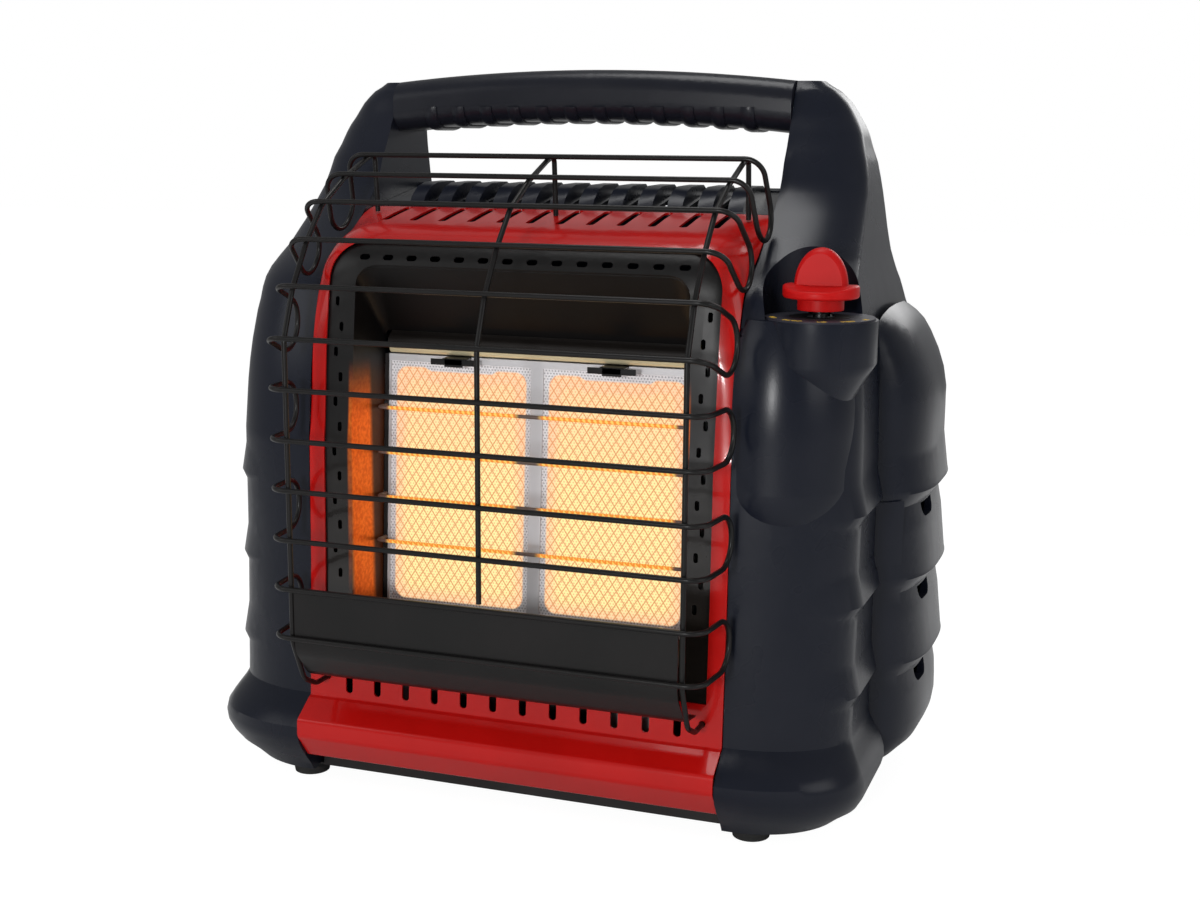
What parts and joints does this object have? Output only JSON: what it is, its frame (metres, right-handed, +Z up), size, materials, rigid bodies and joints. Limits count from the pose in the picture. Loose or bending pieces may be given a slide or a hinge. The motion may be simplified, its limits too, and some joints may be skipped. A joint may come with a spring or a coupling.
{
  "type": "portable propane heater",
  "caption": "Portable radiant gas heater: ceramic burner tiles behind a wire guard, carry handle, swing-open side doors and swivel-out cylinder regulators.",
  "frame": {"origin": "on the ground under the middle of the heater's box", "axes": "+Z up, front and wire guard face -Y, +X to the right seen from the front"},
  "size_m": [0.4372, 0.2878, 0.4254],
  "materials": {
    "housing_plastic": "fine textured moulded plastic",
    "inner_plastic": "smooth moulded plastic",
    "switch_black": "gloss",
    "red_paint": "glossy red enamel paint",
    "knob_red": "semi-gloss",
    "black_enamel": "glossy heat-proof enamel",
    "guard_black": "satin black",
    "ceramic_tile": "porous ceramic",
    "tile_frame_steel": "plated sheet",
    "bright_steel": "plated",
    "hot_rod": "heat-stained",
    "reflector_steel": "polished",
    "sheet_steel": "aluminised sheet",
    "pan_black": "satin",
    "brass": "machined",
    "cast_alloy": "die cast",
    "white_ceramic": "glazed",
    "dial_black": "printed marks",
    "regulator_zinc": "die cast",
    "pipe_alloy": "drawn tube",
    "foot_rubber": "matte",
    "motor_steel": "plated can"
  },
  "bodies": {
    "cabinet": {"adapter_jack": "inner_plastic", "base_pan": "pan_black", "battery_box": "inner_plastic", "battery_contacts": "bright_steel", "battery_pin": "bright_steel", "burner_body": "sheet_steel", "burner_pipe": "pipe_alloy", "burner_tile_left": "ceramic_tile", "burner_tile_right": "ceramic_tile", "carry_handle": "housing_plastic", "dial_plate": "dial_black", "door_hinge_pins": "bright_steel", "fan_motor": "motor_steel", "fan_shroud": "inner_plastic", "feed_pipe": "pipe_alloy", "feet": "foot_rubber", "firebox": "black_enamel", "front_panel": "red_paint", "gas_jet": "brass", "gas_valve": "cast_alloy", "guard_plate": "guard_black", "guard_rings": "guard_black", "guard_uprights": "guard_black", "heat_shield": "sheet_steel", "housing_screws": "bright_steel", "igniter_electrode": "white_ceramic", "knob_spring": "bright_steel", "left_fuel_pipe": "pipe_alloy", "left_housing": "housing_plastic", "left_swivel_fitting": "brass", "manifold_tee": "brass", "piezo_igniter": "inner_plastic", "pilot_bracket": "sheet_steel", "pilot_burner": "bright_steel", "pilot_tube": "pipe_alloy", "radiant_rods": "hot_rod", "rear_cover": "housing_plastic", "reflector": "reflector_steel", "right_fuel_pipe": "pipe_alloy", "right_housing": "housing_plastic", "right_swivel_fitting": "brass", "switch_body": "inner_plastic", "thermocouple": "bright_steel", "tile_clips": "bright_steel", "tile_frame": "tile_frame_steel", "tip_switch": "inner_plastic", "top_grille": "housing_plastic", "venturi_tube": "sheet_steel"},
    "right_door": {"right_door": "housing_plastic", "right_door_latch": "housing_plastic"},
    "left_door": {"left_door": "housing_plastic", "left_door_latch": "housing_plastic"},
    "knob_sleeve": {"push_collar": "bright_steel"},
    "control_knob": {"control_knob": "knob_red", "valve_stem": "bright_steel"},
    "right_regulator": {"right_regulator": "regulator_zinc"},
    "left_regulator": {"left_regulator": "regulator_zinc"},
    "fan_rotor": {"fan_rotor": "inner_plastic"},
    "battery_door": {"battery_door": "housing_plastic"},
    "fan_switch": {"fan_switch": "switch_black"}
  },
  "joints": [
    {"name": "right_door_swing", "type": "hinge", "parent": "cabinet", "child": "right_door", "pos_m": [0.194, 0.134, 0.15], "axis": [0, 0, 1], "range_deg": [0, 110]},
    {"name": "left_door_swing", "type": "hinge", "parent": "cabinet", "child": "left_door", "pos_m": [-0.194, 0.134, 0.15], "axis": [0, 0, -1], "range_deg": [0, 110]},
    {"name": "knob_push", "type": "slide", "parent": "cabinet", "child": "knob_sleeve", "axis": [0, 0, -1], "range_m": [0, 0.003], "stiffness_N_per_m": 900, "deforming": ["knob_spring"]},
    {"name": "knob_turn", "type": "hinge", "parent": "knob_sleeve", "child": "control_knob", "pos_m": [0.1665, -0.062, 0.3], "axis": [0, 0, -1], "range_deg": [0, 250]},
    {"name": "right_regulator_swivel", "type": "hinge", "parent": "cabinet", "child": "right_regulator", "pos_m": [0.152, 0.064, 0.24], "axis": [0, 0, 1], "range_deg": [0, 90]},
    {"name": "left_regulator_swivel", "type": "hinge", "parent": "cabinet", "child": "left_regulator", "pos_m": [-0.152, 0.064, 0.24], "axis": [0, 0, -1], "range_deg": [0, 90]},
    {"name": "fan_spin", "type": "hinge", "parent": "cabinet", "child": "fan_rotor", "pos_m": [0, 0.1287, 0.18], "axis": [0, 1, 0], "continuous": true},
    {"name": "battery_door_swing", "type": "hinge", "parent": "cabinet", "child": "battery_door", "pos_m": [0, 0.1391, 0.035], "axis": [-1, 0, 0], "range_deg": [0, 95]},
    {"name": "fan_switch_rock", "type": "hinge", "parent": "cabinet", "child": "fan_switch", "pos_m": [0.098, 0.1394, 0.092], "axis": [1, 0, 0], "range_deg": [-8, 8]}
  ]
}
